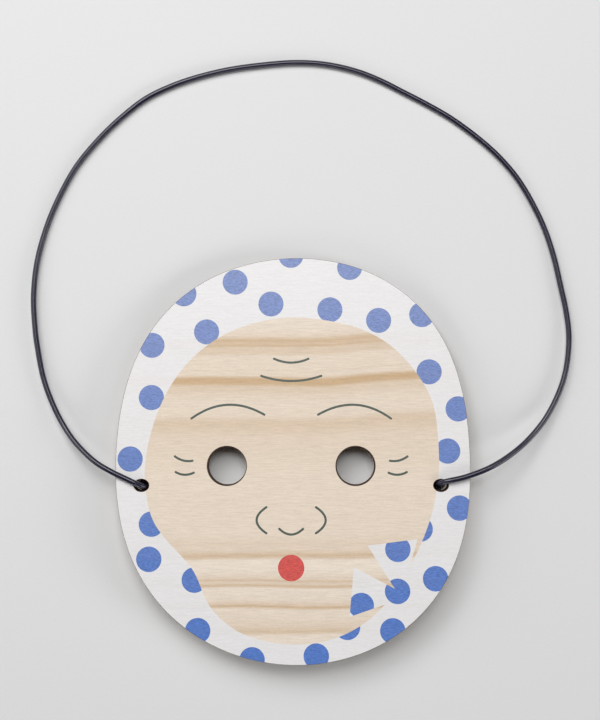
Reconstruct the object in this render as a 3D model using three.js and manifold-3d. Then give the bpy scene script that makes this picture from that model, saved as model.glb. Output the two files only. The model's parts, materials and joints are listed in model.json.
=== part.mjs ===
// A flat wooden folk mask on an elastic cord, lying face up as it rests.
// Units are millimetres, +Z is up, +X is the viewer's right and +Y is towards the mask's forehead.
// The origin is under the middle of the board, at the height that the board rests on.

import * as THREE from 'three';
import * as BufferGeometryUtils from 'three/addons/utils/BufferGeometryUtils.js';
import Module from 'manifold-3d';

// Driving dimensions

const BOARD_THICKNESS = 5.5;

// The board's edge is a circle of MEAN_RADIUS with a few waves added round it.
// An angle of 0 points to the forehead and the angle grows clockwise, seen from the front.
const MEAN_RADIUS = 89.7;
const OFF_CENTRE_RIGHT = 0.3;
const OFF_CENTRE_DOWN = 0.1;
const TALLER_THAN_WIDE = 5.95;
const CHIN_NARROWING = 0.22;
const SQUARENESS = -1.29;
const CROWN_ROUNDING = -0.2;
const HAND_DRAWN_LEAN = 0.48;
const BOARD_EDGE_POINTS = 120;

// The holes are placed from the point that the radius is measured from.
const HOLES_MIDLINE_X = -1.0;
const EYE_SPACING = 59.8;
const EYE_HEIGHT = -2.9;
const EYE_HOLE_DIAMETER = 18.7;
const EYE_HOLE_POINTS = 40;

const CORD_HOLE_SPACING = 139.2;
const CORD_HOLE_HEIGHT = -11.9;
const CORD_HOLE_WIDTH = 7.4;
const CORD_HOLE_TALL = 6.2;
const CORD_HOLE_POINTS = 24;

const CORD_DIAMETER = 2.6;
const CORD_SIDES = 8;
const CORD_STEPS_PER_SPAN = 2;

const KNOT_HEIGHT = 6.2;
const KNOT_WIDTH = 8.4;
const KNOT_SIDES = 16;
const KNOT_INSET = 1.2;
const TAIL_LENGTH = 9.0;
const TAIL_MIDDLE_HEIGHT = 1.8;

// The knot's half section: shares of its half width and of its height, from the foot to the top
const KNOT_PROFILE = [
  [0, 0],
  [0.52, 0],
  [0.87, 0.18],
  [1, 0.42],
  [0.96, 0.62],
  [0.78, 0.86],
  [0.52, 1],
  [0, 1],
];

const GAP = 0.3;

// Materials

const printedWood = new THREE.MeshStandardMaterial({ color: 0xe2d8cc, roughness: 0.5, metalness: 0 });
const elastic = new THREE.MeshStandardMaterial({ color: 0x2d2a3c, roughness: 0.6, metalness: 0 });

// Board

function boardRadius(angle) {
  return MEAN_RADIUS
    + OFF_CENTRE_RIGHT * Math.sin(angle)
    - OFF_CENTRE_DOWN * Math.cos(angle)
    + TALLER_THAN_WIDE * Math.cos(2 * angle)
    + CHIN_NARROWING * Math.cos(3 * angle)
    + SQUARENESS * Math.cos(4 * angle)
    + CROWN_ROUNDING * Math.cos(5 * angle)
    + HAND_DRAWN_LEAN * Math.sin(3 * angle);
}

function boardEdge() {
  const points = [];
  for (let i = 0; i < BOARD_EDGE_POINTS; i += 1) {
    const angle = (2 * Math.PI * i) / BOARD_EDGE_POINTS;
    const radius = boardRadius(angle);
    points.push(new THREE.Vector2(radius * Math.sin(angle), radius * Math.cos(angle)));
  }
  return points;
}

function oval(x, y, width, height, count) {
  const points = [];
  for (let i = 0; i < count; i += 1) {
    const angle = (2 * Math.PI * (i + 0.5)) / count;
    points.push(new THREE.Vector2(x + (width / 2) * Math.cos(angle), y + (height / 2) * Math.sin(angle)));
  }
  return points;
}

const edge = boardEdge();
const edgeBox = new THREE.Box2().setFromPoints(edge);
const edgeMiddle = edgeBox.getCenter(new THREE.Vector2());

// The board rests on its top back edge and on the two knots, so its chin is raised a little.
const knotsToCrown = edgeBox.max.y - CORD_HOLE_HEIGHT;
const restingTilt = Math.asin((KNOT_HEIGHT + GAP) / knotsToCrown);
const boardShiftX = -edgeMiddle.x;
const boardShiftY = -edgeMiddle.y * Math.cos(restingTilt) - (BOARD_THICKNESS * Math.sin(restingTilt)) / 2;
const boardLift = edgeBox.max.y * Math.sin(restingTilt);

function makeBoard() {
  const shape = new THREE.Shape(edge);
  for (const side of [-1, 1]) {
    const eyeX = HOLES_MIDLINE_X + (side * EYE_SPACING) / 2;
    const cordX = HOLES_MIDLINE_X + (side * CORD_HOLE_SPACING) / 2;
    const eyeHole = oval(eyeX, EYE_HEIGHT, EYE_HOLE_DIAMETER, EYE_HOLE_DIAMETER, EYE_HOLE_POINTS);
    const cordHole = oval(cordX, CORD_HOLE_HEIGHT, CORD_HOLE_WIDTH, CORD_HOLE_TALL, CORD_HOLE_POINTS);
    shape.holes.push(new THREE.Path(eyeHole), new THREE.Path(cordHole));
  }
  const geometry = new THREE.ExtrudeGeometry(shape, { depth: BOARD_THICKNESS, bevelEnabled: false });
  const board = new THREE.Mesh(geometry, printedWood);
  board.name = 'mask_board';
  return board;
}

// Where a point of the board's back face lies once the board is at rest
function restingPlace(x, y) {
  return new THREE.Vector3(
    x + boardShiftX,
    y * Math.cos(restingTilt) + boardShiftY,
    boardLift - y * Math.sin(restingTilt),
  );
}

// Stopper knots

function asSolid(wasm, geometry) {
  const bare = geometry.clone();
  bare.deleteAttribute('normal');
  bare.deleteAttribute('uv');
  const merged = BufferGeometryUtils.mergeVertices(bare, 1e-4);
  return new wasm.Manifold(new wasm.Mesh({
    numProp: 3,
    vertProperties: new Float32Array(merged.attributes.position.array),
    triVerts: new Uint32Array(merged.index.array),
  }));
}

function asGeometry(solid) {
  const mesh = solid.getMesh();
  const geometry = new THREE.BufferGeometry();
  geometry.setAttribute('position', new THREE.BufferAttribute(mesh.vertProperties, 3));
  geometry.setIndex(new THREE.BufferAttribute(mesh.triVerts, 1));
  return geometry;
}

// A bun with a flat foot and a flat top, and the cut tail of the cord lying beside it
function makeKnot(wasm, name, side) {
  const profile = KNOT_PROFILE.map(([outward, upward]) => (
    new THREE.Vector2((outward * KNOT_WIDTH) / 2, upward * KNOT_HEIGHT)
  ));
  const bun = new THREE.LatheGeometry(profile, KNOT_SIDES);
  bun.rotateX(Math.PI / 2);

  const tail = new THREE.CylinderGeometry(CORD_DIAMETER / 2, CORD_DIAMETER / 2, TAIL_LENGTH, CORD_SIDES);
  tail.rotateZ(Math.PI / 2);
  tail.translate((-side * TAIL_LENGTH) / 2, 0, TAIL_MIDDLE_HEIGHT);

  const solid = asSolid(wasm, bun).add(asSolid(wasm, tail));
  const knot = new THREE.Mesh(asGeometry(solid), elastic);
  knot.name = name;
  const offMidline = side * (CORD_HOLE_SPACING / 2 - KNOT_INSET);
  const underHole = restingPlace(HOLES_MIDLINE_X + offMidline, CORD_HOLE_HEIGHT);
  knot.position.set(underHole.x, underHole.y, 0);
  return knot;
}

// Cord

// The cord's middle line, from the top of the left knot to the top of the right one:
// up through the hole, over the board's edge, down to the table and round in one open loop.
const CORD_ROUTE = [
  [-68.7, -12.5, 6.5],
  [-68.7, -12.5, 8.6],
  [-69.3, -12.2, 11.2],
  [-71.1, -11.4, 13.1],
  [-73.4, -10.3, 13.8],
  [-78.3, -8.0, 13.6],
  [-84.8, -4.9, 13.2],
  [-92.3, -0.5, 11.6],
  [-101.8, 8.0, 7.8],
  [-107.7, 15.7, 5.1],
  [-112.7, 24.9, 3.8],
  [-117.5, 37.7, 3.2],
  [-120.5, 52.7, 3.0],
  [-121.7, 62.3, 2.9],
  [-122.4, 76.5, 2.6],
  [-121.1, 91.3, 2.1],
  [-117.9, 104.8, 1.6],
  [-112.6, 119.1, 1.4],
  [-102.7, 137.6, 1.4],
  [-90.7, 152.1, 1.4],
  [-80.7, 161.6, 1.4],
  [-69.3, 170.3, 1.4],
  [-56.8, 176.3, 1.4],
  [-44.6, 180.4, 1.4],
  [-30.7, 183.7, 1.4],
  [-16.0, 185.8, 1.4],
  [0.8, 187.1, 1.4],
  [15.1, 186.3, 1.4],
  [29.6, 183.1, 1.4],
  [40.6, 178.9, 1.4],
  [51.6, 173.4, 1.4],
  [63.0, 167.5, 1.4],
  [75.4, 160.3, 1.4],
  [90.5, 148.9, 1.4],
  [100.4, 139.3, 1.4],
  [107.9, 129.6, 1.4],
  [117.4, 112.0, 1.4],
  [122.7, 97.0, 1.7],
  [126.5, 80.6, 2.1],
  [129.0, 68.6, 2.4],
  [130.1, 55.8, 2.7],
  [127.7, 38.1, 3.0],
  [120.3, 21.4, 3.8],
  [111.9, 10.9, 6.0],
  [102.5, 3.1, 9.5],
  [91.3, -3.4, 12.7],
  [79.2, -7.8, 13.7],
  [72.4, -9.3, 13.8],
  [69.8, -10.0, 13.1],
  [68.0, -10.6, 11.2],
  [67.3, -10.9, 8.6],
  [67.3, -10.9, 6.5],
];

class CordRoute extends THREE.CatmullRomCurve3 {
  // Each span between listed points gets the same number of steps, so the turns at the holes stay round
  getUtoTmapping(u) {
    return u;
  }
}

function makeCord() {
  const route = new CordRoute(CORD_ROUTE.map(([x, y, z]) => new THREE.Vector3(x, y, z)));
  const section = new THREE.Shape(oval(0, 0, CORD_DIAMETER, CORD_DIAMETER, CORD_SIDES));
  const geometry = new THREE.ExtrudeGeometry(section, {
    steps: (CORD_ROUTE.length - 1) * CORD_STEPS_PER_SPAN,
    extrudePath: route,
  });
  const cord = new THREE.Mesh(geometry, elastic);
  cord.name = 'elastic_cord';
  return cord;
}

// The whole mask at rest

const wasm = await Module();
wasm.setup();

const restingBoard = new THREE.Group();
restingBoard.rotation.x = -restingTilt;
restingBoard.position.set(boardShiftX, boardShiftY, boardLift);
restingBoard.add(makeBoard());

const mask = new THREE.Group();
mask.add(restingBoard);
mask.add(makeCord());
mask.add(makeKnot(wasm, 'knot_left', -1));
mask.add(makeKnot(wasm, 'knot_right', 1));

export default mask;
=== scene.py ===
# %% [markdown]
# # A flat wooden folk mask on an elastic cord
#
# The real thing is a souvenir mask: one thin softwood board, cut to an egg shape by a laser, with a
# spotted headscarf and a simple line face printed on its front. A round elastic cord runs through two
# small holes and is stopped by a knot behind each. It lies face up and is seen from straight above.
# The back of its top edge and the two knots carry it, so the chin is raised a little.
#
# The CAD model gives the frame: metres, +Z up, +X to the viewer's right, +Y towards the forehead.
# Every piece made here is placed in that frame, so nothing has to be fitted afterwards.

# %% The frame
import json
import math

import bpy
import numpy as np
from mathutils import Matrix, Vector
from mathutils.geometry import delaunay_2d_cdt


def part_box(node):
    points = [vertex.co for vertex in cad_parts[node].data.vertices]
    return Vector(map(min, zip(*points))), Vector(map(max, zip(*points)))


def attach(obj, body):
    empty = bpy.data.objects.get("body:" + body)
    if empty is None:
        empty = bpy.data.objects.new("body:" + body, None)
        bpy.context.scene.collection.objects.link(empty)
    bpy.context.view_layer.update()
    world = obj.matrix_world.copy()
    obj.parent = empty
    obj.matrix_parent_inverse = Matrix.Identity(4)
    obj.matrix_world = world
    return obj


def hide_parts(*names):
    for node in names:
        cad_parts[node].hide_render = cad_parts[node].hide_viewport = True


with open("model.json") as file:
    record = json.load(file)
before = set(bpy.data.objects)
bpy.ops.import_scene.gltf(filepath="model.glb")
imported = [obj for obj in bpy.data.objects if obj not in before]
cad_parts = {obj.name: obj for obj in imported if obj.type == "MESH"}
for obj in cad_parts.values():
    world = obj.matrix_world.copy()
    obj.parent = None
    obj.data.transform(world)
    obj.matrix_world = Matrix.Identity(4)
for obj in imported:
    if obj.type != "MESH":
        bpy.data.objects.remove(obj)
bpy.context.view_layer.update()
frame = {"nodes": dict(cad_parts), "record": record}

MM = 0.001

print("CAD nodes:", sorted(frame["nodes"]))

# %% [markdown]
# ## The camera
#
# The photograph was taken with the camera looking straight down, a little over half a metre above the
# table. Its place follows from how far the table's far parts are displaced behind the raised board.
# An unturned camera in Blender already looks down with +Y at the top of the picture, so it only has to
# be moved. The lens comes from the focal length in pixels, because Blender's sensor width belongs to
# the picture's long side.

# %% The camera
PICTURE_LONG_SIDE_PX = 720
FOCAL_LENGTH_PX = 1290.3
SENSOR_WIDTH_MM = 36
CAMERA_X = 3.27
CAMERA_Y = 46.59
CAMERA_HEIGHT = 611.25

camera_data = bpy.data.cameras.new("studio_camera")
camera_data.sensor_width = SENSOR_WIDTH_MM
camera_data.lens = FOCAL_LENGTH_PX / PICTURE_LONG_SIDE_PX * SENSOR_WIDTH_MM
camera = bpy.data.objects.new("studio_camera", camera_data)
camera.location = (CAMERA_X * MM, CAMERA_Y * MM, CAMERA_HEIGHT * MM)
bpy.context.scene.collection.objects.link(camera)
bpy.context.scene.camera = camera
print("lens in mm:", round(camera_data.lens, 2))

# %% [markdown]
# ## A path for the cord
#
# The cord is the route's business first: a real cord has one length, and everything else about it
# follows from where it runs. The route is a list of points, the same ones as in the CAD model. A small
# program measured most of them along the real cord's middle line, and their heights are reasoned. The
# route leaves the left knot, goes up through the left hole, over the board's edge, down to the table,
# round in a wide loop and back the same way on the right.
#
# A smooth curve has to run through all of them. A Bezier curve object could do that with handles, but
# a Catmull-Rom curve needs no handles, and the CAD model uses the same one, so the two agree.

# %% The cord's route
CORD_DIAMETER = 2.6 * MM
STEPS_PER_SPAN = 40
RING_SPACING = 0.6 * MM

CORD_ROUTE = [
    (-0.0687, -0.0125, 0.0065), (-0.0687, -0.0125, 0.0086), (-0.0693, -0.0122, 0.0112),
    (-0.0711, -0.0114, 0.0131), (-0.0734, -0.0103, 0.0138), (-0.0783, -0.0080, 0.0136),
    (-0.0848, -0.0049, 0.0132), (-0.0923, -0.0005, 0.0116), (-0.1018, 0.0080, 0.0078),
    (-0.1077, 0.0157, 0.0051), (-0.1127, 0.0249, 0.0038), (-0.1175, 0.0377, 0.0032),
    (-0.1205, 0.0527, 0.0030), (-0.1217, 0.0623, 0.0029), (-0.1224, 0.0765, 0.0026),
    (-0.1211, 0.0913, 0.0021), (-0.1179, 0.1048, 0.0016), (-0.1126, 0.1191, 0.0014),
    (-0.1027, 0.1376, 0.0014), (-0.0907, 0.1521, 0.0014), (-0.0807, 0.1616, 0.0014),
    (-0.0693, 0.1703, 0.0014), (-0.0568, 0.1763, 0.0014), (-0.0446, 0.1804, 0.0014),
    (-0.0307, 0.1837, 0.0014), (-0.0160, 0.1858, 0.0014), (0.0008, 0.1871, 0.0014),
    (0.0151, 0.1863, 0.0014), (0.0296, 0.1831, 0.0014), (0.0406, 0.1789, 0.0014),
    (0.0516, 0.1734, 0.0014), (0.0630, 0.1675, 0.0014), (0.0754, 0.1603, 0.0014),
    (0.0905, 0.1489, 0.0014), (0.1004, 0.1393, 0.0014), (0.1079, 0.1296, 0.0014),
    (0.1174, 0.1120, 0.0014), (0.1227, 0.0970, 0.0017), (0.1265, 0.0806, 0.0021),
    (0.1290, 0.0686, 0.0024), (0.1301, 0.0558, 0.0027), (0.1277, 0.0381, 0.0030),
    (0.1203, 0.0214, 0.0038), (0.1119, 0.0109, 0.0060), (0.1025, 0.0031, 0.0095),
    (0.0913, -0.0034, 0.0127), (0.0792, -0.0078, 0.0137), (0.0724, -0.0093, 0.0138),
    (0.0698, -0.0100, 0.0131), (0.0680, -0.0106, 0.0112), (0.0673, -0.0109, 0.0086),
    (0.0673, -0.0109, 0.0065),
]


def smooth_path(points, steps, closed=False):
    """A centripetal Catmull-Rom curve through the points, with the same number of steps to each span.

    Each span is a cubic between two points. Its slopes there weigh the neighbouring chords by the
    square root of their lengths, so the curve doesn't overshoot where the points lie close together.
    """
    p = np.asarray(points, float)
    before, after = (p[-1:], p[:2]) if closed else ([2 * p[0] - p[1]], [2 * p[-1] - p[-2]])
    p = np.vstack([before, p, after])
    a, b, c, d = (p[i:len(p) - 3 + i] for i in range(4))
    ab, bc, cd = (np.sqrt(np.linalg.norm(y - x, axis=1))[:, None] for x, y in ((a, b), (b, c), (c, d)))
    leaving = bc * ((b - a) / ab - (c - a) / (ab + bc) + (c - b) / bc)
    arriving = bc * ((c - b) / bc - (d - b) / (bc + cd) + (d - c) / cd)
    t = (np.arange(steps) / steps)[None, :, None]
    b, c, leaving, arriving = (x[:, None, :] for x in (b, c, leaving, arriving))
    curve = (
        (2 * t ** 3 - 3 * t ** 2 + 1) * b
        + (t ** 3 - 2 * t ** 2 + t) * leaving
        + (3 * t ** 2 - 2 * t ** 3) * c
        + (t ** 3 - t ** 2) * arriving
    ).reshape(-1, p.shape[1])
    return curve if closed else np.vstack([curve, p[-2]])


def evenly_spaced(path, spacing):
    """The same path with its points a constant distance apart, found by its running length."""
    run = np.concatenate([[0], np.cumsum(np.linalg.norm(np.diff(path, axis=0), axis=1))])
    places = np.linspace(0, run[-1], round(run[-1] / spacing) + 1)
    return np.column_stack([np.interp(places, run, axis) for axis in path.T]), run[-1]


cord_path, cord_length = evenly_spaced(smooth_path(CORD_ROUTE, STEPS_PER_SPAN), RING_SPACING)
print("cord length in mm:", round(cord_length / MM, 1), "in", len(cord_path), "rings")

# %% [markdown]
# ## From a path to a tube
#
# A tube is a circle carried along a path. On a grid of two numbers, the place along the path and the
# angle round it, every point has a plain formula, so numpy works out the whole surface at once.
# Blender's own curve bevel would do as well, but it gives no say over where the seam runs or over the
# UV map, and the braid of the cord needs both.

# %% Tubes and pieces
def tube(path, facing, radius, sides, closed=False):
    """The surface of a round tube along a path, as points, faces and a UV for each face corner.

    `facing` is made square to the path's direction at each point, and a third axis is square to both.
    A point of the ring is path + radius * (facing * cos(angle) + third * sin(angle)).
    U is the share of a turn round the tube, and V is the distance along it in millimetres.
    """
    rings = len(path)
    direction = np.roll(path, -1, 0) - np.roll(path, 1, 0) if closed else np.gradient(path, axis=0)
    direction /= np.linalg.norm(direction, axis=1)[:, None]
    facing = facing - direction * (facing * direction).sum(1)[:, None]
    facing /= np.linalg.norm(facing, axis=1)[:, None]
    third = np.cross(direction, facing)

    angle = 2 * np.pi * np.arange(sides) / sides
    radius = np.broadcast_to(radius, rings)[:, None, None]
    around = facing[:, None] * np.cos(angle)[:, None] + third[:, None] * np.sin(angle)[:, None]
    points = (path[:, None] + radius * around).reshape(-1, 3)

    row, column = np.meshgrid(np.arange(rings if closed else rings - 1), np.arange(sides), indexing="ij")
    row_step, column_step = np.array([0, 0, 1, 1]), np.array([0, 1, 1, 0])
    rows = row[..., None] + row_step
    columns = column[..., None] + column_step
    faces = ((rows % rings) * sides + columns % sides).reshape(-1, 4).tolist()

    ends = np.vstack([path, path[:1]])
    run = np.concatenate([[0], np.cumsum(np.linalg.norm(np.diff(ends, axis=0), axis=1))]) / MM
    uv = np.stack([columns / sides, run[rows]], axis=-1).reshape(-1, 2)
    if not closed:
        last_ring = (rings - 1) * sides
        faces += [list(range(sides))[::-1], list(range(last_ring, last_ring + sides))]
        uv = np.vstack([uv, np.zeros((2 * sides, 2))])
    return points, faces, uv


def new_piece(name, points, faces):
    """An object at the origin, with its place in its mesh."""
    mesh = bpy.data.meshes.new(name)
    mesh.from_pydata(points.tolist(), [], faces)
    obj = bpy.data.objects.new(name, mesh)
    bpy.context.scene.collection.objects.link(obj)
    return obj


def piece_of_tubes(name, tubes):
    """One object that holds several tubes, smooth along them and flat on their cut ends."""
    starts = np.cumsum([0] + [len(points) for points, faces, uv in tubes])
    points = np.vstack([points for points, faces, uv in tubes])
    faces = [[int(start + i) for i in face] for start, surface in zip(starts, tubes) for face in surface[1]]
    obj = new_piece(name, points, faces)
    uv_layer = obj.data.uv_layers.new(name="along_the_cord")
    uv_layer.data.foreach_set("uv", np.vstack([uv for points, faces, uv in tubes]).ravel())
    obj.data.polygons.foreach_set("use_smooth", [len(face) == 4 for face in faces])
    print(name, "faces:", len(faces))
    return obj


# %% [markdown]
# ## The cord
#
# Elastic cord of this kind is a rubber core inside a tight braid, sold as round elastic. It is round
# and even all along, so one tube is the whole piece. The rings need a direction that never runs along
# the cord. The direction to the middle of the loop serves, because the cord always goes round it.

# %% The cord
CORD_SIDES = 20

loop_middle = cord_path.mean(axis=0)
cord = piece_of_tubes("elastic_cord_loop", [
    tube(cord_path, loop_middle - cord_path, CORD_DIAMETER / 2, CORD_SIDES),
])

# %% [markdown]
# ## The stopper knots
#
# Behind each hole the cord ends in a plain overhand knot, pulled tight. Its line is the simplest knot
# there is, a trefoil: it goes twice round a ring while it weaves three times over and under it. The
# stretched elastic is thinner inside the knot than outside. A neck joins it to the cord above, and the
# cut tail lies beside it on the table. The photograph doesn't show the knots, so their size is that of
# the CAD model's plain ones, whose boxes place these.

# %% The stopper knots
KNOT_RING = 2.1 * MM
KNOT_WEAVE = 1.0 * MM
KNOT_CORD_RADIUS = 1.08 * MM
KNOT_FOOT_GAP = 0.05 * MM
KNOT_STEPS = 144
KNOT_CORD_SIDES = 16
NECK_STEPS = 12
TAIL_RADIUS = 1.25 * MM
TAIL_SWAY = 0.5 * MM
TAIL_DROP = 0.6 * MM
TAIL_STEPS = 24


def knot_tubes(node, side, cord_end):
    """The knot, its neck and its tail, as three tubes.

    The knot's line, for t from 0 to a full turn, is twice round at a distance of
    ring + weave * cos(3t) from the upright axis, and rises and falls with sin(3t).
    """
    low, high = (np.array(corner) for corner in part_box(node))
    half_width = (high[1] - low[1]) / 2
    middle = np.array([
        low[0] + half_width if side < 0 else high[0] - half_width,
        (low[1] + high[1]) / 2,
        (low[2] + high[2]) / 2 + KNOT_FOOT_GAP,
    ])
    rise = (high[2] - low[2]) / 2 - KNOT_CORD_RADIUS

    t = 2 * np.pi * np.arange(KNOT_STEPS) / KNOT_STEPS
    reach = KNOT_RING + KNOT_WEAVE * np.cos(3 * t)
    line = np.column_stack([side * reach * np.cos(2 * t), reach * np.sin(2 * t), rise * np.sin(3 * t)])
    outward = rise * np.cos(3 * t)
    facing = np.column_stack([
        side * outward * np.cos(2 * t), outward * np.sin(2 * t), KNOT_WEAVE * np.sin(3 * t),
    ])
    knot = tube(middle + line, facing, KNOT_CORD_RADIUS, KNOT_CORD_SIDES, closed=True)

    neck_foot = middle + [0, 0, rise / 2]
    s = np.linspace(0, 1, NECK_STEPS)[:, None]
    neck_line = neck_foot * (1 - s) + cord_end * s
    neck_radius = np.interp(s[:, 0], [0, 0.6, 1], [KNOT_CORD_RADIUS, KNOT_CORD_RADIUS, CORD_DIAMETER / 2])
    neck = tube(neck_line, np.tile([0.0, 1.0, 0.0], (NECK_STEPS, 1)), neck_radius, KNOT_CORD_SIDES)

    s = np.linspace(0, 1, TAIL_STEPS)
    tail_end = low[0] if side > 0 else high[0]
    tail_line = np.column_stack([
        middle[0] + (tail_end - middle[0]) * s,
        middle[1] + TAIL_SWAY * np.sin(np.pi * s),
        low[2] + TAIL_RADIUS + KNOT_FOOT_GAP + TAIL_DROP * (1 - s) ** 2,
    ])
    tail_radius = TAIL_RADIUS * np.interp(s, [0, 0.97, 1], [1, 1, 0.86])
    tail = tube(tail_line, np.tile([0.0, 0.0, 1.0], (TAIL_STEPS, 1)), tail_radius, KNOT_CORD_SIDES)
    return [knot, neck, tail]


knots = {}
for side, node, cord_end in ((-1, "knot_left", cord_path[0]), (1, "knot_right", cord_path[-1])):
    knots[node] = piece_of_tubes("stopper_" + node, knot_tubes(node, side, cord_end))

# %% [markdown]
# ## The board's outline and where it rests
#
# The board is best drawn flat, in millimetres from the middle of its outline, and laid down at the
# end. Its outline is a circle with a few waves added: two move it a little off the middle, one makes
# it taller than wide, and the others give the narrower chin and the uneven, hand-drawn round. Their
# sizes were fitted to the real outline. The tilt is in the CAD record, as the direction that the back
# face looks in, and the place comes from the box of the CAD board.

# %% The board's outline and where it rests
MEAN_RADIUS = 89.7
OFF_CENTRE_RIGHT = 0.3
OFF_CENTRE_DOWN = 0.1
TALLER_THAN_WIDE = 5.95
CHIN_NARROWING = 0.22
SQUARENESS = -1.29
CROWN_ROUNDING = -0.2
HAND_DRAWN_LEAN = 0.48


def board_radius(angle):
    """The distance from the middle to the edge, with the angle clockwise from the forehead."""
    return (
        MEAN_RADIUS
        + OFF_CENTRE_RIGHT * np.sin(angle)
        - OFF_CENTRE_DOWN * np.cos(angle)
        + TALLER_THAN_WIDE * np.cos(2 * angle)
        + CHIN_NARROWING * np.cos(3 * angle)
        + SQUARENESS * np.cos(4 * angle)
        + CROWN_ROUNDING * np.cos(5 * angle)
        + HAND_DRAWN_LEAN * np.sin(3 * angle)
    )


def board_outline(inset, count=480):
    """Points anticlockwise round the board, at angles evenly apart, a little inside the edge."""
    angle = -2 * np.pi * np.arange(count) / count
    return (board_radius(angle) - inset)[:, None] * np.column_stack([np.sin(angle), np.cos(angle)])


outline_low, outline_high = board_outline(0).min(axis=0), board_outline(0).max(axis=0)
back_faces = frame["record"]["mounts"][0]["axis"]
tilt = math.atan2(-back_faces[1], -back_faces[2])
board_low, board_high = (np.array(corner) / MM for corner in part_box("mask_board"))
raised_by_tilt = (outline_high[1] - outline_low[1]) * math.sin(tilt)
thickness = (board_high[2] - board_low[2] - raised_by_tilt) / math.cos(tilt)
shift = (board_low + board_high) / 2
shift[:2] -= (outline_low + outline_high) / 2 * [1, math.cos(tilt)]
shift[1] -= thickness / 2 * math.sin(tilt)
shift[2] = board_low[2] + outline_high[1] * math.sin(tilt)


def at_rest(flat, height):
    """Turns flat points and their heights over the back face, in mm, into places in metres."""
    right, up = flat[:, 0], flat[:, 1]
    return MM * (shift + np.column_stack([
        right,
        up * math.cos(tilt) + height * math.sin(tilt),
        height * math.cos(tilt) - up * math.sin(tilt),
    ]))


print("board thickness in mm:", round(thickness, 2), "tilt in degrees:", round(math.degrees(tilt), 2))

# %% [markdown]
# ## The print, drawn flat
#
# Four inks lie on the wood: white for the scarf, blue for its spots, red for the mouth and a thin
# grey green for the lines. Ink has no thickness worth modelling, so it isn't raised. Image textures
# would blur at the edges and node patterns would need a tree of their own for every spot, so the
# front sheet itself is cut along the shapes, and each cut area gets its ink as a material.
#
# The spotted scarf is a common pattern and follows the real one, with its spots and its edge where
# they were measured. The face is a plain one of round openings and a few even bows, spaced by the
# drawing-book rule of thirds.

# %% The openings, the scarf and its spots
FACE_AXIS = -1.0
EYE_SPACING = 59.8
EYE_HEIGHT = -2.9
EYE_DIAMETER = 18.7
CORD_HOLE_SPACING = 139.2
CORD_HOLE_HEIGHT = -11.9
CORD_HOLE_SIZE = (7.4, 6.2)
EYE_POINTS = 96
CORD_HOLE_POINTS = 48

# The spots' middles, from the forehead to the chin, and those of the spots on the knotted ends
SPOT_DIAMETER = 11.75
SPOT_POINTS = 64
SPOT_CENTRES = [
    (-1.2, 95.6), (26.4, 89.9), (-27.3, 83.0), (-51.3, 77.5), (-10.5, 72.7), (17.1, 70.0), (60.1, 67.7),
    (39.9, 65.0), (-40.6, 59.6), (-66.1, 53.3), (63.4, 40.9), (-66.2, 28.9), (76.8, 23.6), (71.8, 4.0),
    (-75.9, 0.3), (77.1, -22.4), (-65.8, -29.8), (58.8, -32.1), (-66.9, -46.0), (65.8, -54.9),
    (-45.8, -55.5), (48.2, -60.7), (-44.1, -78.7), (45.9, -78.8), (25.0, -77.1), (10.6, -90.3),
    (-19.0, -92.0),
]
END_SPOT_CENTRES = [(48.4, -41.4), (48.2, -60.7), (31.4, -67.2)]

# The inner edge of the scarf, anticlockwise from the forehead
SCARF_OPENING = [
    (-0.7, 66.4), (-16.4, 64.2), (-32.9, 58.0), (-47.9, 46.7), (-58.5, 32.2), (-65.5, 15.3),
    (-69.0, -4.0), (-67.4, -21.0), (-64.5, -29.2), (-59.3, -36.5), (-46.6, -50.8), (-38.5, -67.6),
    (-27.0, -78.2), (-13.0, -83.4), (2.0, -85.0), (17.0, -82.9), (31.8, -76.0), (43.6, -65.2),
    (53.9, -49.4), (62.8, -29.6), (67.2, -10.0), (67.5, 8.0), (64.7, 27.1), (56.3, 41.9),
    (44.8, 53.7), (30.9, 61.2), (15.3, 65.0),
]

# The two knotted ends, with corners well inside the white band where they join it
SCARF_ENDS = [
    (34.4, -39.7), (46.9, -59.5), (28.0, -49.6), (26.0, -72.4), (42.7, -66.6), (44.0, -74.0),
    (60.0, -58.0), (53.7, -49.8), (57.6, -36.7),
]


def oval(middle, width, height, count):
    """Points anticlockwise round an oval."""
    angle = 2 * np.pi * np.arange(count) / count
    return np.column_stack([middle[0] + width / 2 * np.cos(angle), middle[1] + height / 2 * np.sin(angle)])


eye_middles = [(FACE_AXIS + side * EYE_SPACING / 2, EYE_HEIGHT) for side in (-1, 1)]
cord_hole_middles = [(FACE_AXIS + side * CORD_HOLE_SPACING / 2, CORD_HOLE_HEIGHT) for side in (-1, 1)]
openings = [oval(middle, EYE_DIAMETER, EYE_DIAMETER, EYE_POINTS) for middle in eye_middles]
openings += [oval(middle, *CORD_HOLE_SIZE, CORD_HOLE_POINTS) for middle in cord_hole_middles]
spots, end_spots = (
    [oval(middle, SPOT_DIAMETER, SPOT_DIAMETER, SPOT_POINTS) for middle in centres]
    for centres in (SPOT_CENTRES, END_SPOT_CENTRES)
)
print("spots:", len(spots), "and on the knotted ends:", len(end_spots))

# %% [markdown]
# ## The face's lines
#
# Each line is a bow, a shallow parabola, drawn with a round pen. The rule of thirds sets the heights:
# brows, foot of the nose and chin are evenly apart, and the mouth is a third of the way from the nose
# to the chin. A stroke becomes a thin closed band, so that it can be cut out of the sheet like a spot.

# %% The face's lines
PEN_WIDTH = 1.05
PEN_CAP_STEPS = 8
BOW_POINTS = 33
BROW_HEIGHT = 18.0
CHIN_HEIGHT = -84.0
NOSE_FOOT = (BROW_HEIGHT + CHIN_HEIGHT) / 2
MOUTH_HEIGHT = NOSE_FOOT + (CHIN_HEIGHT - NOSE_FOOT) / 3
MOUTH_DIAMETER = 12.2
MOUTH_POINTS = 72

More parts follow.
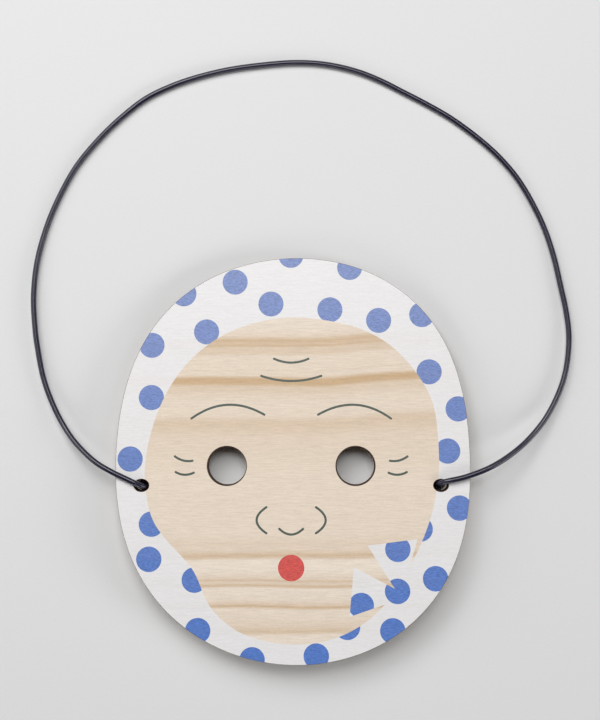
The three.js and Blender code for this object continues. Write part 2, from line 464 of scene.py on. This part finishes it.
# Each bow: how far from the face's axis, height, half width, rise and turn in degrees
PAIRED_BOWS = [
    (29.5, BROW_HEIGHT + 2.0, 17.0, 5.5, -3),
    (50.0, EYE_HEIGHT + 3.4, 4.2, -0.9, 14),
    (49.5, EYE_HEIGHT - 3.0, 4.2, -1.1, 2),
    (11.5, NOSE_FOOT + 5.0, 6.0, 4.5, -90),
]
MIDDLE_BOWS = [
    (0, 39.0, 14.0, -2.4, 0),
    (0, 47.0, 8.0, -1.8, 0),
    (0, NOSE_FOOT + 1.0, 5.5, -2.6, 0),
]


def bow(middle, height, half_width, rise, turn, side=1):
    """A parabola: `half_width` either way along a line, and `rise` above it at its middle."""
    s = np.linspace(-1, 1, BOW_POINTS)
    x, y = half_width * s, rise * (1 - s ** 2)
    turn = math.radians(turn)
    across = middle + x * math.cos(turn) - y * math.sin(turn)
    return np.column_stack([FACE_AXIS + side * across, height + x * math.sin(turn) + y * math.cos(turn)])


def pen_stroke(line, width):
    """The closed edge of a line drawn with a round pen: one side, a half circle, the other side back."""
    along = np.gradient(line, axis=0)
    along /= np.linalg.norm(along, axis=1)[:, None]
    left = np.column_stack([-along[:, 1], along[:, 0]])
    angle = np.pi * np.arange(1, PEN_CAP_STEPS)[:, None] / PEN_CAP_STEPS

    def cap(i, sign):
        return line[i] + width / 2 * sign * (along[i] * np.sin(angle) - left[i] * np.cos(angle))

    right_side = line - left * width / 2
    left_side = (line + left * width / 2)[::-1]
    return np.vstack([right_side, cap(-1, 1), left_side, cap(0, -1)])


lines = [pen_stroke(bow(*shape, side=side), PEN_WIDTH) for shape in PAIRED_BOWS for side in (-1, 1)]
lines += [pen_stroke(bow(*shape), PEN_WIDTH) for shape in MIDDLE_BOWS]
mouth = oval((FACE_AXIS, MOUTH_HEIGHT), MOUTH_DIAMETER, MOUTH_DIAMETER, MOUTH_POINTS)
print("lines:", len(lines), "mouth height:", MOUTH_HEIGHT)

# %% [markdown]
# ## Cutting the front sheet
#
# A constrained Delaunay triangulation takes all those closed outlines at once, cuts each along the
# others, and says for every triangle which outlines it lies in. The uppermost ink then wins: lines,
# mouth, spots where there is scarf, white where there is scarf, and bare wood for the rest. The
# knotted ends hang over the bare wood, and there they show spots of their own.

# %% Cutting the front sheet
EDGE_ROUNDING = 0.15
SAME_POINT = 1e-4
SCARF_STEPS_PER_SPAN = 12
INKS = ["white", "blue", "red", "line", "bare"]


def anticlockwise(polygon):
    """The polygon, turned round if its area comes out negative."""
    x, y = np.asarray(polygon, float).T
    area = (x * np.roll(y, -1) - y * np.roll(x, -1)).sum()
    return np.column_stack([x, y])[:: 1 if area > 0 else -1]


def cut(polygons):
    """Triangulates the polygons. Returns points, triangles, and which polygons hold each triangle."""
    polygons = [anticlockwise(polygon) for polygon in polygons]
    ends = np.cumsum([0] + [len(polygon) for polygon in polygons])
    faces = [list(range(start, end)) for start, end in zip(ends, ends[1:])]
    corners = [Vector(corner) for corner in np.vstack(polygons)]
    points, _, triangles, _, _, holders = delaunay_2d_cdt(corners, [], faces, 1, SAME_POINT, True)
    held = np.zeros((len(triangles), len(polygons)), bool)
    rows = np.repeat(np.arange(len(triangles)), [len(h) for h in holders])
    held[rows, np.concatenate(holders).astype(int)] = True
    points, triangles = np.array([tuple(p) for p in points]), np.array(triangles)
    a, b, c = (points[triangles[:, i]] for i in range(3))
    clockwise = np.cross(b - a, c - a) < 0
    triangles[clockwise] = triangles[clockwise][:, ::-1]
    return points, triangles, held


shapes = {
    "board": [board_outline(EDGE_ROUNDING)],
    "openings": openings,
    "scarf_opening": [smooth_path(SCARF_OPENING, SCARF_STEPS_PER_SPAN, closed=True)],
    "scarf_ends": [SCARF_ENDS],
    "spots": spots,
    "end_spots": end_spots,
    "mouth": [mouth],
    "lines": lines,
}
sheet, triangles, held = cut([polygon for group in shapes.values() for polygon in group])
group_of = np.repeat(list(shapes), [len(group) for group in shapes.values()])
inside = {name: held[:, group_of == name].any(axis=1) for name in shapes}
scarf = inside["scarf_ends"] | ~inside["scarf_opening"]
spotted = np.where(inside["scarf_opening"], inside["end_spots"], inside["spots"])
ink = np.select(
    [inside["lines"], inside["mouth"], scarf & spotted, scarf],
    [INKS.index(name) for name in ("line", "red", "blue", "white")],
    INKS.index("bare"),
)
kept = inside["board"] & ~inside["openings"]
ink = ink[kept]
used, triangles = np.unique(triangles[kept], return_inverse=True)
sheet, triangles = sheet[used], triangles.reshape(-1, 3)
triangles_of = {name: int((ink == i).sum()) for i, name in enumerate(INKS)}
print("front sheet:", len(triangles), "triangles;", triangles_of)

# %% [markdown]
# ## The rims of the front sheet
#
# The board's walls start at the rims of the front sheet: one round the board and one round each hole.
# The cut has added points to the outer rim where spots run off the board, so the rims are read from
# the cut sheet itself and not from the outlines that were drawn.

# %% The rims of the front sheet
# A point this near to a hole's widest reach belongs to its rim
RIM_MARGIN = 0.1


def rims_of(triangles, points):
    """The open rims of the sheet, each in order round its own opening.

    An edge is on a rim if only one triangle has it. Every rim is a ring round a known middle, so
    sorting its points by their angle there puts them in order.
    """
    edges = np.sort(np.vstack([triangles[:, [0, 1]], triangles[:, [1, 2]], triangles[:, [2, 0]]]), axis=1)
    edges, uses = np.unique(edges, axis=0, return_counts=True)
    on_rim = np.unique(edges[uses == 1])
    middles = np.array(eye_middles + cord_hole_middles)
    distance = np.linalg.norm(points[on_rim, None] - middles, axis=2)
    reach = np.array([EYE_DIAMETER] * 2 + [CORD_HOLE_SIZE[0]] * 2) / 2 + RIM_MARGIN
    nearest = np.where((distance < reach).any(axis=1), (distance - reach).argmin(axis=1), -1)
    rims = []
    for which, middle in enumerate([(0, 0), *middles], start=-1):
        rim = on_rim[nearest == which]
        offset = points[rim] - middle
        rims.append(rim[np.argsort(np.arctan2(offset[:, 1], offset[:, 0]))])
    return rims


rims = rims_of(triangles, sheet)
print("points on each rim:", [len(rim) for rim in rims])

# %% [markdown]
# ## The board's walls and back
#
# A laser burns its way through the wood. It leaves a charred wall, a front edge that is barely
# rounded, and holes that are a little narrower at the back. Each wall is a profile carried round a
# rim: the rim's points are moved outwards, into the air, and down, step by step. The back sheet
# closes the board between the last rims.

# %% The board's walls and back
# Profiles: how far out into the air, and how far below the front or, for the last four, above the back
EDGE_PROFILE_OUT = [0.06, 0.11, 0.14, 0.15, 0.15, 0.15, 0.15, 0.11, 0.0]
HOLE_PROFILE_OUT = [0.10, 0.18, 0.24, 0.28, 0.31, 0.60, 0.61, 0.59, 0.5]
PROFILE_DOWN = [0.01, 0.05, 0.11, 0.20, 0.60]
PROFILE_UP = [0.60, 0.20, 0.06, 0.0]

# The beam stood a little off square, so the back of each hole lies this far to the right and up
BEAM_LEAN = np.array([0.13, 0.10])

heights = np.array([thickness - x for x in PROFILE_DOWN] + PROFILE_UP)
all_points = [at_rest(sheet, thickness)]
all_faces = triangles.tolist()
materials = list(ink)
back_rims = []
back_starts = []
total = len(sheet)
for number, rim in enumerate(rims):
    ring = sheet[rim]
    along = np.roll(ring, -1, axis=0) - np.roll(ring, 1, axis=0)
    to_air = np.column_stack([along[:, 1], -along[:, 0]]) * (1 if number == 0 else -1)
    to_air /= np.linalg.norm(to_air, axis=1)[:, None]
    profile_out = EDGE_PROFILE_OUT if number == 0 else HOLE_PROFILE_OUT
    lean = BEAM_LEAN if number > 0 else BEAM_LEAN * 0
    steps = [
        ring + to_air * out + lean * (1 - height / thickness)
        for out, height in zip(profile_out, heights)
    ]
    all_points += [at_rest(step, height) for step, height in zip(steps, heights)]

    n = len(rim)
    rows = np.vstack([rim, total + np.arange(n * len(steps)).reshape(-1, n)])
    here, ahead = rows, np.roll(rows, -1, axis=1)
    wall = np.stack([here[:-1], here[1:], ahead[1:], ahead[:-1]], axis=-1).reshape(-1, 4)
    if number > 0:
        wall = wall[:, ::-1]
    all_faces += wall.tolist()
    materials += [len(INKS)] * len(wall)
    back_rims.append(steps[-1])
    back_starts.append(rows[-1])
    total += n * len(steps)

back, back_triangles, held = cut(back_rims)
back_triangles = back_triangles[held[:, 0] & ~held[:, 1:].any(axis=1)]
rim_points, rim_numbers = np.vstack(back_rims), np.concatenate(back_starts)
nearest = np.linalg.norm(back[:, None] - rim_points, axis=2).argmin(axis=1)
all_faces += rim_numbers[nearest][back_triangles][:, ::-1].tolist()
materials += [len(INKS) + 1] * len(back_triangles)

board = new_piece("printed_board", np.vstack(all_points), all_faces)
board.data.polygons.foreach_set("material_index", materials)
board.data.polygons.foreach_set("use_smooth", [i == len(INKS) for i in materials])
print("board faces:", len(all_faces))

# %% [markdown]
# ## Colours and nodes
#
# Colours are written as sRGB, the way a paint program shows them, and were tuned until the render's
# mean colours agreed with the real ones. Blender calculates with linear light, so one function turns
# one into the other. Another adds any node with its settings and links, which keeps every material
# below short enough to read as a recipe.

# %% Colours and nodes
def linear(colour):
    """An sRGB hex colour as linear red, green, blue and alpha."""
    srgb = np.array([int(colour[i:i + 2], 16) for i in (1, 3, 5)]) / 255
    light = np.where(srgb <= 0.04045, srgb / 12.92, ((srgb + 0.055) / 1.055) ** 2.4)
    return (*light.tolist(), 1.0)


def node(tree, kind, inputs=None, stops=None, **settings):
    """Adds a shader node. Each input is a value, or the output of another node to link from."""
    added = tree.nodes.new("ShaderNode" + kind)
    for name, value in settings.items():
        setattr(added, name, value)
    for name, value in (inputs or {}).items():
        if isinstance(value, bpy.types.NodeSocket):
            tree.links.new(value, added.inputs[name])
        else:
            added.inputs[name].default_value = value
    for number, (place, colour) in enumerate(stops or []):
        ramp = added.color_ramp.elements
        stop = ramp[number] if number < len(ramp) else ramp.new(place)
        stop.position, stop.color = place, colour
    return added


def new_material(name):
    """An empty node material, with its tree."""
    material = bpy.data.materials.new(name)
    material.use_nodes = True
    material.node_tree.nodes.clear()
    return material, material.node_tree


def finish_material(tree, inputs):
    """Gives the material one Principled surface with these inputs."""
    surface = node(tree, "BsdfPrincipled", inputs)
    node(tree, "OutputMaterial", {"Surface": surface.outputs["BSDF"]})


# %% [markdown]
# ## The wood's year rings
#
# The board is a softwood, cedar or pine, sawn so that the year rings cross its face as bands: wide
# pale early wood, and narrow darker late wood that ends sharply on one side. The grain runs from ear
# to ear. The bands are colour ramps over the height on the board. Blender keeps a ramp as 256 steps,
# so a ramp as long as the board would blur the thinnest lines, and two shorter ones take its place:
# one for the rings below the nose and one for those over the eyes. A slow noise bends them a little.

# %% The wood's year rings
# The wood's tone at each height in mm, read off the real board: 0 for the palest, 1 for the darkest
PLAIN_TONE = 0.17
RINGS_BELOW_THE_NOSE = [
    (-81.3, 0.06), (-80.4, 0.40), (-79.4, 0.66), (-78.3, 0.48), (-77.0, 0.34), (-73.0, 0.18),
    (-69.2, 0.12), (-68.4, 0.45), (-67.7, 0.93), (-66.9, 0.50), (-64.6, 0.16), (-59.2, 0.05),
    (-58.5, 0.50), (-57.8, 0.82), (-57.0, 0.38), (-56.3, 0.36), (-55.5, 0.70), (-54.8, 0.36),
    (-52.6, 0.15), (-50.2, 0.00), (-46.2, 0.00), (-45.2, 0.50), (-44.0, 0.78), (-42.4, 0.44),
    (-41.0, 0.28), (-38.8, 0.34), (-34.0, PLAIN_TONE),
]
RINGS_OVER_THE_EYES = [
    (-7.0, PLAIN_TONE), (3.0, 0.26), (10.5, 0.30), (17.2, 0.54), (18.8, 0.46), (21.2, 0.20),
    (27.3, 0.18), (31.0, 0.34), (31.9, 0.44), (34.1, 0.47), (34.8, 0.80), (35.6, 0.97), (37.3, 1.00),
    (38.1, 0.75), (39.0, 0.25), (40.7, 0.19), (41.2, 0.34), (41.7, 0.20), (47.8, 0.20), (49.2, 0.48),
    (51.6, 0.48), (52.4, 0.84), (53.2, 0.68), (54.8, 0.84), (57.0, 0.25), (61.0, 0.10),
]

# How far a slow noise bends the rings up or down, how large its waves are, and where it starts
BEND = 3.0
BEND_SIZES = (91.0, 45.0, 50.0)
BEND_START = (3.1, 7.4, 0)

# The rings over the brow climb to the right: how far, and between which places it sets in
CLIMB = 2.6
CLIMB_ACROSS = (5.0, 50.0)
CLIMB_UPWARDS = (-8.0, 12.0)


def grain_noise(tree, on_board, sizes, detail, start=(0, 0, 0)):
    """A noise whose waves reach so far along the grain, across it and into the wood, in mm."""
    scale = [1 / size for size in sizes]
    scaled = node(tree, "Mapping", {"Vector": on_board, "Scale": scale, "Location": start})
    noise = node(tree, "TexNoise", {"Vector": scaled.outputs["Vector"], "Scale": 1.0, "Detail": detail})
    return noise.outputs["Fac"]


def rings(tree, height, tones):
    """The tone at a height, from a ramp that reaches from the first place listed to the last."""
    low, high = tones[0][0], tones[-1][0]
    share = node(tree, "MapRange", {"Value": height, "From Min": low, "From Max": high}).outputs["Result"]
    stops = [((place - low) / (high - low), (tone,) * 3 + (1,)) for place, tone in tones]
    return node(tree, "ValToRGB", {"Fac": share}, stops=stops).outputs["Color"]


def year_rings(tree, on_board, at):
    """The tone of the rings at a place on the board, given whole and as its three parts.

    The height that the ramps read is y + 2 * bend * noise - bend - climb * across * upwards, where
    both of the last two go smoothly from 0 to 1.
    """
    slow = grain_noise(tree, on_board, BEND_SIZES, 2.0, BEND_START)
    climb = [
        node(tree, "MapRange", {"Value": at[axis], "From Min": low, "From Max": high},
             interpolation_type="SMOOTHSTEP").outputs["Result"]
        for axis, (low, high) in (("X", CLIMB_ACROSS), ("Y", CLIMB_UPWARDS))
    ]
    climb = node(tree, "Math", {0: climb[0], 1: climb[1]}, operation="MULTIPLY").outputs[0]
    bend = node(tree, "Math", {0: slow, 1: 2 * BEND, 2: -BEND}, operation="MULTIPLY_ADD").outputs[0]
    bend = node(tree, "Math", {0: climb, 1: -CLIMB, 2: bend}, operation="MULTIPLY_ADD").outputs[0]
    height = node(tree, "Math", {0: at["Y"], 1: bend}).outputs[0]

    # Away from its own rings each ramp gives the plain tone, so the sum has one too many
    low_rings = rings(tree, height, RINGS_BELOW_THE_NOSE)
    high_rings = rings(tree, height, RINGS_OVER_THE_EYES)
    both = node(tree, "Math", {0: low_rings, 1: high_rings}).outputs[0]
    return node(tree, "Math", {0: both, 1: PLAIN_TONE}, operation="SUBTRACT").outputs[0]


print("stops of the two ramps:", len(RINGS_BELOW_THE_NOSE), len(RINGS_OVER_THE_EYES))

# %% [markdown]
# ## Fibres and flecks
#
# Between the rings, softwood is fine fibres and the short dark flecks of cut pores. The fibres are a
# noise stretched along the grain, and the flecks a shorter one. All inks lie on this wood and let a
# little of it through, so one function gives the rings, the fibres, the flecks and the relief to
# every material of the board. It first turns an object coordinate into a place on the flat board.

# %% Fibres and flecks
# How far the fibres and the flecks reach along the grain, across it and into the wood
FIBRE_SIZES = (7.0, 0.6, 3.0)
FLECK_SIZES = (1.5, 0.3, 1.0)


def wood_grain(tree):
    """Adds the wood's pattern: its rings, fibres, flecks, bump normal and height on the board."""
    place = node(tree, "TexCoord").outputs["Object"]
    on_board = node(tree, "Mapping", {
        "Vector": place,
        "Location": [-shift[0], -shift[1] * math.cos(tilt) + shift[2] * math.sin(tilt), 0],
        "Rotation": [tilt, 0, 0],
        "Scale": [1 / MM] * 3,
    }).outputs["Vector"]
    at = node(tree, "SeparateXYZ", {"Vector": on_board}).outputs
    fibres = grain_noise(tree, on_board, FIBRE_SIZES, 3.0)
    relief = node(tree, "Bump", {"Height": fibres, "Strength": 0.35, "Distance": 0.05 * MM})
    return {
        "rings": year_rings(tree, on_board, at),
        "fibres": fibres,
        "flecks": grain_noise(tree, on_board, FLECK_SIZES, 3.0),
        "relief": relief.outputs["Normal"],
        "height": at["Y"],
    }


# %% [markdown]
# ## Bare softwood
#
# Planed and sanded, with no varnish, so it is matt all over. The pale early wood is a warm cream, the
# late wood an ochre. The long fibres and the short flecks of cut pores make both a little lighter and
# darker. The sawn back is the same wood, duller and rougher in tone.

# %% Bare softwood
FLECKS_ON_WOOD = 0.06

# Blender's noise hardly leaves this range
NOISE_REACH = (0.25, 0.75)


def tinted(tree, fac, low, high, first, second):
    """A colour that goes from the first to the second while `fac` goes from low to high."""
    share = node(tree, "MapRange", {"Value": fac, "From Min": low, "From Max": high})
    mix = node(tree, "Mix", {0: share.outputs["Result"], 6: first, 7: second}, data_type="RGBA")
    return mix.outputs[2]


def shaded(tree, colour, noise, strength):
    """The colour, darkened and lightened by up to `strength` of itself where the noise is low and high."""
    darkest, lightest = ((1 + change,) * 3 + (1,) for change in (-strength, strength))
    shade = tinted(tree, noise, *NOISE_REACH, darkest, lightest)
    product = node(tree, "Mix", {0: 1.0, 6: colour, 7: shade}, data_type="RGBA", blend_type="MULTIPLY")
    return product.outputs[2]


def bare_wood(name, pale, dark, fibre_strength):
    """Softwood. The rings mix its pale and dark colours, and the fibres and the flecks shade them."""
    material, tree = new_material(name)
    grain = wood_grain(tree)
    colour = tinted(tree, grain["rings"], 0, 1, linear(pale), linear(dark))
    colour = shaded(tree, colour, grain["fibres"], fibre_strength)
    colour = shaded(tree, colour, grain["flecks"], FLECKS_ON_WOOD)
    finish_material(tree, {"Base Color": colour, "Roughness": 0.6, "Normal": grain["relief"]})
    return material


front_wood = bare_wood("planed_softwood_front", "#f4e6d6", "#d3b38c", 0.08)
back_wood = bare_wood("planed_softwood_back", "#e2d2bc", "#c9a67c", 0.12)
print("nodes in the front's wood:", len(front_wood.node_tree.nodes))

# %% [markdown]
# ## The inks
#
# The print is a UV-cured ink, a thin satin film that follows the grain under it. It covers almost
# fully, so the rings and the fibres only ghost through. The ink is laid down as fine drops, which
# leave the blue, the red and the line ink finely speckled. The spots' blue is paler towards the
# forehead, where the light from beyond the forehead gives the satin film a sheen. That sheen is
# painted in: the film's colour runs from one at the chin to a paler one at the forehead.

# %% The inks
FIBRES_THROUGH_INK = 0.04
WOOD_UNDER_INK = "#cfae86"
CHIN_TO_FOREHEAD = (-75, 85)


def satin_ink(name, colour, fleck_strength, show_through, sheen_at_forehead=None):
    """A satin ink film on wood, with fine flecks. Its colour may run to another at the forehead: painted
    sheen.
    """
    material, tree = new_material(name)
    grain = wood_grain(tree)
    film = linear(colour)
    # Painted sheen: the film's colour runs to a paler one towards the forehead, where the light from beyond
    # it gleams
    if sheen_at_forehead:
        film = tinted(tree, grain["height"], *CHIN_TO_FOREHEAD, film, linear(sheen_at_forehead))
    film = shaded(tree, film, grain["fibres"], FIBRES_THROUGH_INK)
    film = shaded(tree, film, grain["flecks"], fleck_strength)
    ghost = node(tree, "Math", {0: grain["rings"], 1: show_through}, operation="MULTIPLY").outputs[0]
    seen = node(tree, "Mix", {0: ghost, 6: film, 7: linear(WOOD_UNDER_INK)}, data_type="RGBA").outputs[2]
    finish_material(tree, {"Base Color": seen, "Roughness": 0.42, "Normal": grain["relief"]})
    return material


inks = {
    "white": satin_ink("white_satin_ink", "#f2f0f0", 0.05, 0.06),
    # The blue's paler colour at the forehead is painted sheen
    "blue": satin_ink("blue_satin_ink", "#5980cd", 0.36, 0.04, sheen_at_forehead="#8093c8"),
    "red": satin_ink("red_satin_ink", "#dc5954", 0.3, 0.04),
    "line": satin_ink("grey_green_satin_ink", "#525f57", 0.3, 0.04),
    "bare": front_wood,
}

# %% [markdown]
# ## The charred cut
#
# Where the laser went, the wall is a dark brown char with fine upright lines, one for each pulse of
# the beam. It is dry and soft, so it hardly shines.

# %% The charred cut
# The lines' noise: how many waves it has in each mm along the wall and through the thickness
CHAR_WAVES = (2.0, 2.0, 0.12)


def charred_cut():
    """Laser-cut softwood: dark brown, with lines that run through the thickness."""
    material, tree = new_material("charred_laser_cut")
    place = node(tree, "TexCoord").outputs["Object"]
    turned = node(tree, "Mapping", {"Vector": place, "Rotation": [tilt, 0, 0], "Scale": [1 / MM] * 3})
    upright = node(tree, "Mapping", {"Vector": turned.outputs["Vector"], "Scale": CHAR_WAVES})
    lines = node(tree, "TexNoise", {"Vector": upright.outputs["Vector"], "Scale": 1.0, "Detail": 2.0})
    colour = tinted(tree, lines.outputs["Fac"], 0.3, 0.7, linear("#3a281d"), linear("#5d4432"))
    relief = node(tree, "Bump", {"Height": lines.outputs["Fac"], "Strength": 0.5, "Distance": 0.1 * MM})
    finish_material(tree, {"Base Color": colour, "Roughness": 0.8, "Normal": relief.outputs["Normal"]})
    return material


for material in [inks[name] for name in INKS] + [charred_cut(), back_wood]:
    board.data.materials.append(material)

# %% [markdown]
# ## Braided elastic
#
# The cord's cover is a tight braid of fine polyester threads in a dark navy, smooth enough to gleam.
# Its round back gives one thin line of light all along the cord. The threads lie almost square to the
# cord, so close by the eye gets a fine, low ribbing with a slight slant. The ribs are a sine wave on
# the tube's own UV map: one wave for each rib along the cord, and one more for each turn round it,
# which gives the slant. They stay low, because higher ones would scatter the line of light.

# %% Braided elastic
RIB_SPACING = 0.55
RIB_HEIGHT = 0.012 * MM


def braided_elastic():
    """Navy braid: low slanting ribs, with painted shade in the grooves between them, and a gloss."""
    material, tree = new_material("braided_elastic_navy")
    uv = node(tree, "UVMap", uv_map="along_the_cord").outputs["UV"]
    waves = (2 * math.pi, 2 * math.pi / RIB_SPACING, 0)
    phase = node(tree, "VectorMath", {0: uv, 1: waves}, operation="DOT_PRODUCT").outputs["Value"]
    ribs = node(tree, "Math", {0: phase}, operation="SINE").outputs[0]
    # Painted shade: the colour is darker in the grooves between the ribs, where shade would fall
    colour = tinted(tree, ribs, -1, 1, linear("#1d1b2b"), linear("#2c2a40"))
    relief = node(tree, "Bump", {"Height": ribs, "Strength": 1.0, "Distance": RIB_HEIGHT})
    finish_material(tree, {
        "Base Color": colour, "Roughness": 0.12, "IOR": 1.6, "Normal": relief.outputs["Normal"],
    })
    return material


elastic = braided_elastic()
for obj in (cord, *knots.values()):
    obj.data.materials.append(elastic)

# %% [markdown]
# ## The table and the light
#
# A plain pale table in a light tent, where every wall glows a little. Seven round area lights stand
# for the walls. Most of their light comes down from high up, beyond the forehead and on the left. It
# lights the floor of the eye holes and leaves a soft shadow at the chin and down the right side. The
# low ones on the right and near the chin open that shadow up again. A small program fitted the seven
# powers to the real brightness and shadows. The surround itself is nearly black, because the lights
# do its work.

# %% The table and the light
TABLE_REACH = 2.0
TABLE_GAP = 0.02 * MM


def pale_table():
    """Smooth pale paper, with a tooth too fine to see as more than a slight unevenness."""
    material, tree = new_material("pale_paper")
    place = node(tree, "TexCoord").outputs["Object"]
    tooth = node(tree, "TexNoise", {"Vector": place, "Scale": 900.0, "Detail": 2.0})
    colour = tinted(tree, tooth.outputs["Fac"], 0.2, 0.8, linear("#e8e8e8"), linear("#ebebeb"))
    finish_material(tree, {"Base Color": colour, "Roughness": 0.9})
    return material


corners = np.array([(-1, -1, 0), (1, -1, 0), (1, 1, 0), (-1, 1, 0)]) * TABLE_REACH
table = new_piece("table", corners - [0, 0, TABLE_GAP], [[0, 1, 2, 3]])
table.data.materials.append(pale_table())


PICTURE_MIDDLE = Vector((0, 0.045, 0))

# Each light: degrees from straight up, degrees clockwise from the forehead, distance, size and power
SOFT_LIGHTS = {
    "broad_top_light": (35, 340, 1.2, 0.9, 6.7),
    "overhead_light": (22, 15, 1.6, 0.6, 4.9),
    "upper_left_light": (45, 315, 1.6, 0.6, 3.6),
    "upper_right_light": (45, 70, 1.6, 0.6, 1.3),
    "left_light": (60, 270, 1.5, 0.9, 4.0),
    "low_right_fill": (68, 112, 1.6, 0.6, 6.8),
    "low_near_fill": (68, 185, 1.6, 0.6, 3.9),
}


def soft_light(name, from_top, clockwise, distance, size, watts):
    """A round area light that looks at the middle of the picture from the given direction."""
    from_top, clockwise = math.radians(from_top), math.radians(clockwise)
    outwards = math.sin(from_top)
    towards = Vector((outwards * math.sin(clockwise), outwards * math.cos(clockwise), math.cos(from_top)))
    light = bpy.data.lights.new(name, "AREA")
    light.shape, light.size, light.energy = "DISK", size, watts
    obj = bpy.data.objects.new(name, light)
    obj.location = PICTURE_MIDDLE + towards * distance
    obj.rotation_euler = (-towards).to_track_quat("-Z", "Y").to_euler()
    bpy.context.scene.collection.objects.link(obj)


for name, setting in SOFT_LIGHTS.items():
    soft_light(name, *setting)

surround = bpy.data.worlds.new("grey_surround")
surround.use_nodes = True
surround.node_tree.nodes["Background"].inputs["Color"].default_value = (1, 1, 1, 1)
surround.node_tree.nodes["Background"].inputs["Strength"].default_value = 0.02
bpy.context.scene.world = surround
bpy.context.scene.view_settings.view_transform = "Standard"

# %% [markdown]
# ## Handing the pieces to the frame
#
# Each piece rides on the one body of the mask and stands for the plain CAD solid in its place.

# %% Handing the pieces to the frame
for obj, replaced, finish in (
    (board, "mask_board", "printed_wood"),
    (cord, "elastic_cord", "elastic"),
    (knots["knot_left"], "knot_left", "elastic"),
    (knots["knot_right"], "knot_right", "elastic"),
):
    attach(obj, "root")
    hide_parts(replaced)
